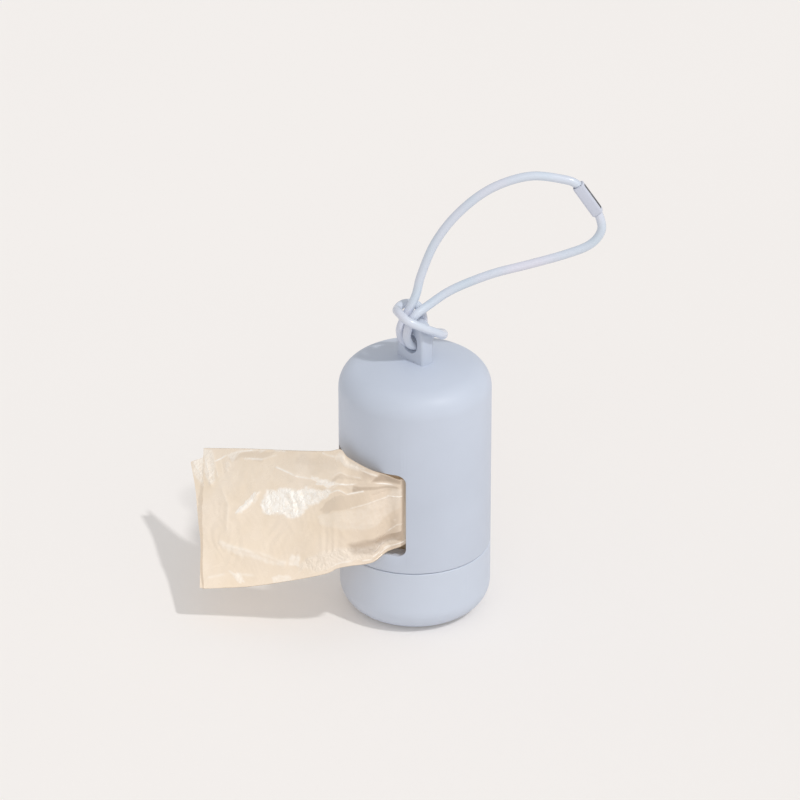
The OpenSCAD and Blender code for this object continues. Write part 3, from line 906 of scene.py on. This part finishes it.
def mouldedPlastic(name, colour, roughness=(0.42, 0.52), tint=0.035, specular=0.4):
    # tint is how much lighter and darker than its colour the plastic gets
    material, nodes, links, shader = newMaterial(name)
    place = addNode(nodes, "ShaderNodeTexCoord").outputs["Object"]
    light = [min(1, c * (1 + tint)) for c in colour]
    dark = [c * (1 - tint) for c in colour]
    links.new(noiseColour(nodes, links, place, size=0.03, shades=(dark, light)), shader.inputs["Base Color"])
    low, high = roughness
    noiseRoughness(nodes, links, place, shader, size=0.006, low=low, high=high)
    noiseBump(nodes, links, place, shader, size=0.0004, height=0.00001, strength=0.6)
    shader.inputs["Specular IOR Level"].default_value = specular
    return material


def mixColour(nodes, links, amount, first, second):
    # second is a plain colour that covers first by the amount
    blend = addNode(nodes, "ShaderNodeMix", data_type="RGBA")
    links.new(amount, blend.inputs["Factor"])
    links.new(first, blend.inputs["A"])
    blend.inputs["B"].default_value = (*second, 1)
    return blend.outputs["Result"]


def times(nodes, links, first, second):
    product = addNode(nodes, "ShaderNodeMath", operation="MULTIPLY", use_clamp=True)
    links.new(first, product.inputs[0])
    if isinstance(second, (int, float)):
        product.inputs[1].default_value = second
    else:
        links.new(second, product.inputs[1])
    return product.outputs["Value"]


def filmMaterial():
    material, nodes, links, shader = newMaterial("creamFilm")
    place = addNode(nodes, "ShaderNodeTexCoord").outputs["Object"]
    shades = (filmTints["warm"], filmTints["pale"])
    colour = noiseColour(nodes, links, place, size=0.016, shades=shades, detail=4)
    # painted shade, mixed into the colour
    shadePaint = addNode(nodes, "ShaderNodeAttribute", attribute_name="paintedShade")
    colour = mixColour(nodes, links, shadePaint.outputs["Fac"], colour, filmTints["shadePaint"])
    # painted highlight, whitened into the colour and broken up by a fine speckle
    highlightPaint = addNode(nodes, "ShaderNodeAttribute", attribute_name="paintedHighlight")
    highlightSpeck = addNode(nodes, "ShaderNodeTexNoise", Scale=700, Detail=4, Roughness=0.7)
    links.new(place, highlightSpeck.inputs["Vector"])
    highlightGrain = addNode(nodes, "ShaderNodeMapRange")
    highlightGrain.inputs["From Min"].default_value, highlightGrain.inputs["From Max"].default_value = 0.36, 0.56
    highlightGrain.inputs["To Min"].default_value, highlightGrain.inputs["To Max"].default_value = 0.55, 1
    links.new(highlightSpeck.outputs["Fac"], highlightGrain.inputs["Value"])
    amount = times(nodes, links, highlightPaint.outputs["Fac"], highlightGrain.outputs["Result"])
    colour = mixColour(nodes, links, amount, colour, filmTints["highlightPaint"])
    links.new(colour, shader.inputs["Base Color"])
    noiseRoughness(nodes, links, place, shader, size=0.004, low=0.18, high=0.32)
    shader.inputs["Specular IOR Level"].default_value = 0.5
    busy = addNode(nodes, "ShaderNodeAttribute", attribute_name="crumpled")
    folds = addNode(nodes, "ShaderNodeTexVoronoi", Scale=650, feature="DISTANCE_TO_EDGE")
    links.new(place, folds.inputs["Vector"])
    first = addNode(nodes, "ShaderNodeBump", Strength=0.8, Distance=0.0006)
    links.new(times(nodes, links, folds.outputs["Distance"], busy.outputs["Fac"]), first.inputs["Height"])
    ripple = addNode(nodes, "ShaderNodeTexNoise", Scale=240, Detail=3)
    links.new(place, ripple.inputs["Vector"])
    second = addNode(nodes, "ShaderNodeBump", Strength=0.3, Distance=0.0003)
    links.new(ripple.outputs["Fac"], second.inputs["Height"])
    links.new(first.outputs["Normal"], second.inputs["Normal"])
    links.new(second.outputs["Normal"], shader.inputs["Normal"])
    # painted glow: the film gives off a little light of its own, standing in for light that comes through
    # the thin film
    shader.inputs["Emission Color"].default_value = (*filmTints["through"], 1)
    shader.inputs["Emission Strength"].default_value = filmTints["glow"]
    return material


def rollMaterial():
    material, nodes, links, shader = newMaterial("woundFilm")
    place = addNode(nodes, "ShaderNodeTexCoord").outputs["Object"]
    colour = noiseColour(nodes, links, place, size=0.012, shades=otherTints["roll"])
    links.new(colour, shader.inputs["Base Color"])
    noiseRoughness(nodes, links, place, shader, size=0.003, low=0.26, high=0.42)
    stretch = addNode(nodes, "ShaderNodeMapping")
    stretch.inputs["Scale"].default_value = (1, 1, 0.12)
    links.new(place, stretch.inputs["Vector"])
    stretched = stretch.outputs["Vector"]
    noiseBump(nodes, links, stretched, shader, size=0.0012, height=0.00012, strength=0.7, detail=4)
    return material


def cordMaterial():
    material, nodes, links, shader = newMaterial("glossyCord")
    place = addNode(nodes, "ShaderNodeTexCoord").outputs["Object"]
    colour = noiseColour(nodes, links, place, size=0.016, shades=otherTints["cord"], detail=2)
    links.new(colour, shader.inputs["Base Color"])
    noiseRoughness(nodes, links, place, shader, size=0.004, low=0.30, high=0.42)
    noiseBump(nodes, links, place, shader, size=0.0011, height=0.00003, strength=0.5)
    shader.inputs["Specular IOR Level"].default_value = 0.5
    # a clear skin, which is deeper in colour where it is seen at a slant
    shader.inputs["Coat Weight"].default_value = 1.0
    shader.inputs["Coat Roughness"].default_value = 0.18
    shader.inputs["Coat IOR"].default_value = 1.35
    shader.inputs["Coat Tint"].default_value = (*otherTints["cordCoat"], 1)
    return material


def boardMaterial():
    material, nodes, links, shader = newMaterial("coreBoard")
    place = addNode(nodes, "ShaderNodeTexCoord").outputs["Object"]
    stretch = addNode(nodes, "ShaderNodeMapping")
    stretch.inputs["Scale"].default_value = (1, 1, 0.3)
    links.new(place, stretch.inputs["Vector"])
    stretched = stretch.outputs["Vector"]
    colour = noiseColour(nodes, links, stretched, size=0.0012, shades=otherTints["board"], detail=6)
    links.new(colour, shader.inputs["Base Color"])
    noiseBump(nodes, links, place, shader, size=0.0006, height=0.00006, strength=0.7, detail=4)
    shader.inputs["Roughness"].default_value = 0.85
    return material


def metalMaterial():
    material, nodes, links, shader = newMaterial("ferruleMetal")
    place = addNode(nodes, "ShaderNodeTexCoord").outputs["Object"]
    colour = noiseColour(nodes, links, place, size=0.001, shades=otherTints["metal"])
    links.new(colour, shader.inputs["Base Color"])
    noiseRoughness(nodes, links, place, shader, size=0.0008, low=0.25, high=0.45)
    shader.inputs["Metallic"].default_value = 1
    return material


def finish(piece, material):
    piece.data.materials.clear()
    piece.data.materials.append(material)


shellPlastic = mouldedPlastic("shellPlastic", plasticTints["shell"])
capPlastic = mouldedPlastic("capPlastic", plasticTints["cap"])
threadPlastic = mouldedPlastic("threadPlastic", plasticTints["thread"])
postPlastic = mouldedPlastic("postPlastic", plasticTints["post"])
sleevePlastic = mouldedPlastic("sleevePlastic", plasticTints["sleeve"], roughness=(0.28, 0.36), tint=0.03,
                               specular=0.5)
stripPlastic = mouldedPlastic("stripPlastic", plasticTints["strip"], roughness=(0.35, 0.5), tint=0.2)

finish(casingShell, shellPlastic)
finish(hangerTab, shellPlastic)
finish(pulledBag, filmMaterial())
finish(bagRoll, rollMaterial())
finish(wristCord, cordMaterial())
finish(cordSleeve, sleevePlastic)
nodeFinishes = {
    "base_cap": capPlastic,
    "neck_ring": threadPlastic,
    "cap_thread_ring": threadPlastic,
    "roll_post": postPlastic,
    "roll_core": boardMaterial(),
    "crimp_ferrule": metalMaterial(),
    "sleeve_strip": stripPlastic,
}
for nodeName, material in nodeFinishes.items():
    finish(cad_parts[nodeName], material)
print("materials set")

# floor, lamps and sky

stage = {
    "floorSize": 8,
    "floorColour": (0.935, 0.90, 0.875),
    "floorSeen": (0.957, 0.922, 0.897),
    "floorGlow": 0.14,
    "skyStrength": 0.61,
    "skySeen": (0.90, 0.87, 0.84),
    "sunStrength": 1.25,
    "sunWidth": 3,
    "sunFrom": (0.79, 0.12, 1),
    "fillStrength": 0.2,
    "fillWidth": 40,
    "fillFrom": (0.637, -0.594, 0.491),
}


def makeFloor():
    clearSelection()
    bpy.ops.mesh.primitive_plane_add(size=stage["floorSize"])
    floor = newest("paleFloor")
    material, nodes, links, shader = newMaterial("paleFloor")
    place = addNode(nodes, "ShaderNodeTexCoord").outputs["Object"]
    light = stage["floorColour"]
    dark = [c * 0.985 for c in light]
    links.new(noiseColour(nodes, links, place, size=0.3, shades=(dark, light)), shader.inputs["Base Color"])
    shader.inputs["Roughness"].default_value = 0.9
    shader.inputs["Specular IOR Level"].default_value = 0.1
    # for the camera alone the floor is a little self-lit, which lightens the shadow on it
    glow = addNode(nodes, "ShaderNodeEmission")
    glow.inputs["Color"].default_value = (*stage["floorSeen"], 1)
    rays = addNode(nodes, "ShaderNodeLightPath")
    share = times(nodes, links, rays.outputs["Is Camera Ray"], stage["floorGlow"])
    both = addNode(nodes, "ShaderNodeMixShader")
    links.new(share, both.inputs["Fac"])
    links.new(shader.outputs["BSDF"], both.inputs[1])
    links.new(glow.outputs["Emission"], both.inputs[2])
    links.new(both.outputs["Shader"], nodes["Material Output"].inputs["Surface"])
    finish(floor, material)


def makeSun(direction, strength, width):
    clearSelection()
    bpy.ops.object.light_add(type="SUN", location=Vector(direction))
    sun = bpy.context.object
    sun.rotation_euler = Vector(direction).to_track_quat("Z", "Y").to_euler()
    sun.data.energy = strength
    sun.data.angle = math.radians(width)


def makeLight():
    world = bpy.data.worlds.new("softSky")
    bpy.context.scene.world = world
    world.use_nodes = True
    nodes, links = world.node_tree.nodes, world.node_tree.links
    sky = nodes["Background"]
    sky.inputs["Color"].default_value = (1, 1, 1, 1)
    sky.inputs["Strength"].default_value = stage["skyStrength"]
    seen = addNode(nodes, "ShaderNodeBackground")
    seen.inputs["Color"].default_value = (*stage["skySeen"], 1)
    rays = addNode(nodes, "ShaderNodeLightPath")
    both = addNode(nodes, "ShaderNodeMixShader")
    links.new(rays.outputs["Is Camera Ray"], both.inputs["Fac"])
    links.new(sky.outputs["Background"], both.inputs[1])
    links.new(seen.outputs["Background"], both.inputs[2])
    links.new(both.outputs["Shader"], nodes["World Output"].inputs["Surface"])
    makeSun(stage["sunFrom"], stage["sunStrength"], stage["sunWidth"])
    makeSun(stage["fillFrom"], stage["fillStrength"], stage["fillWidth"])


makeFloor()
makeLight()
bpy.context.scene.view_settings.view_transform = "Standard"
print("stage lit")
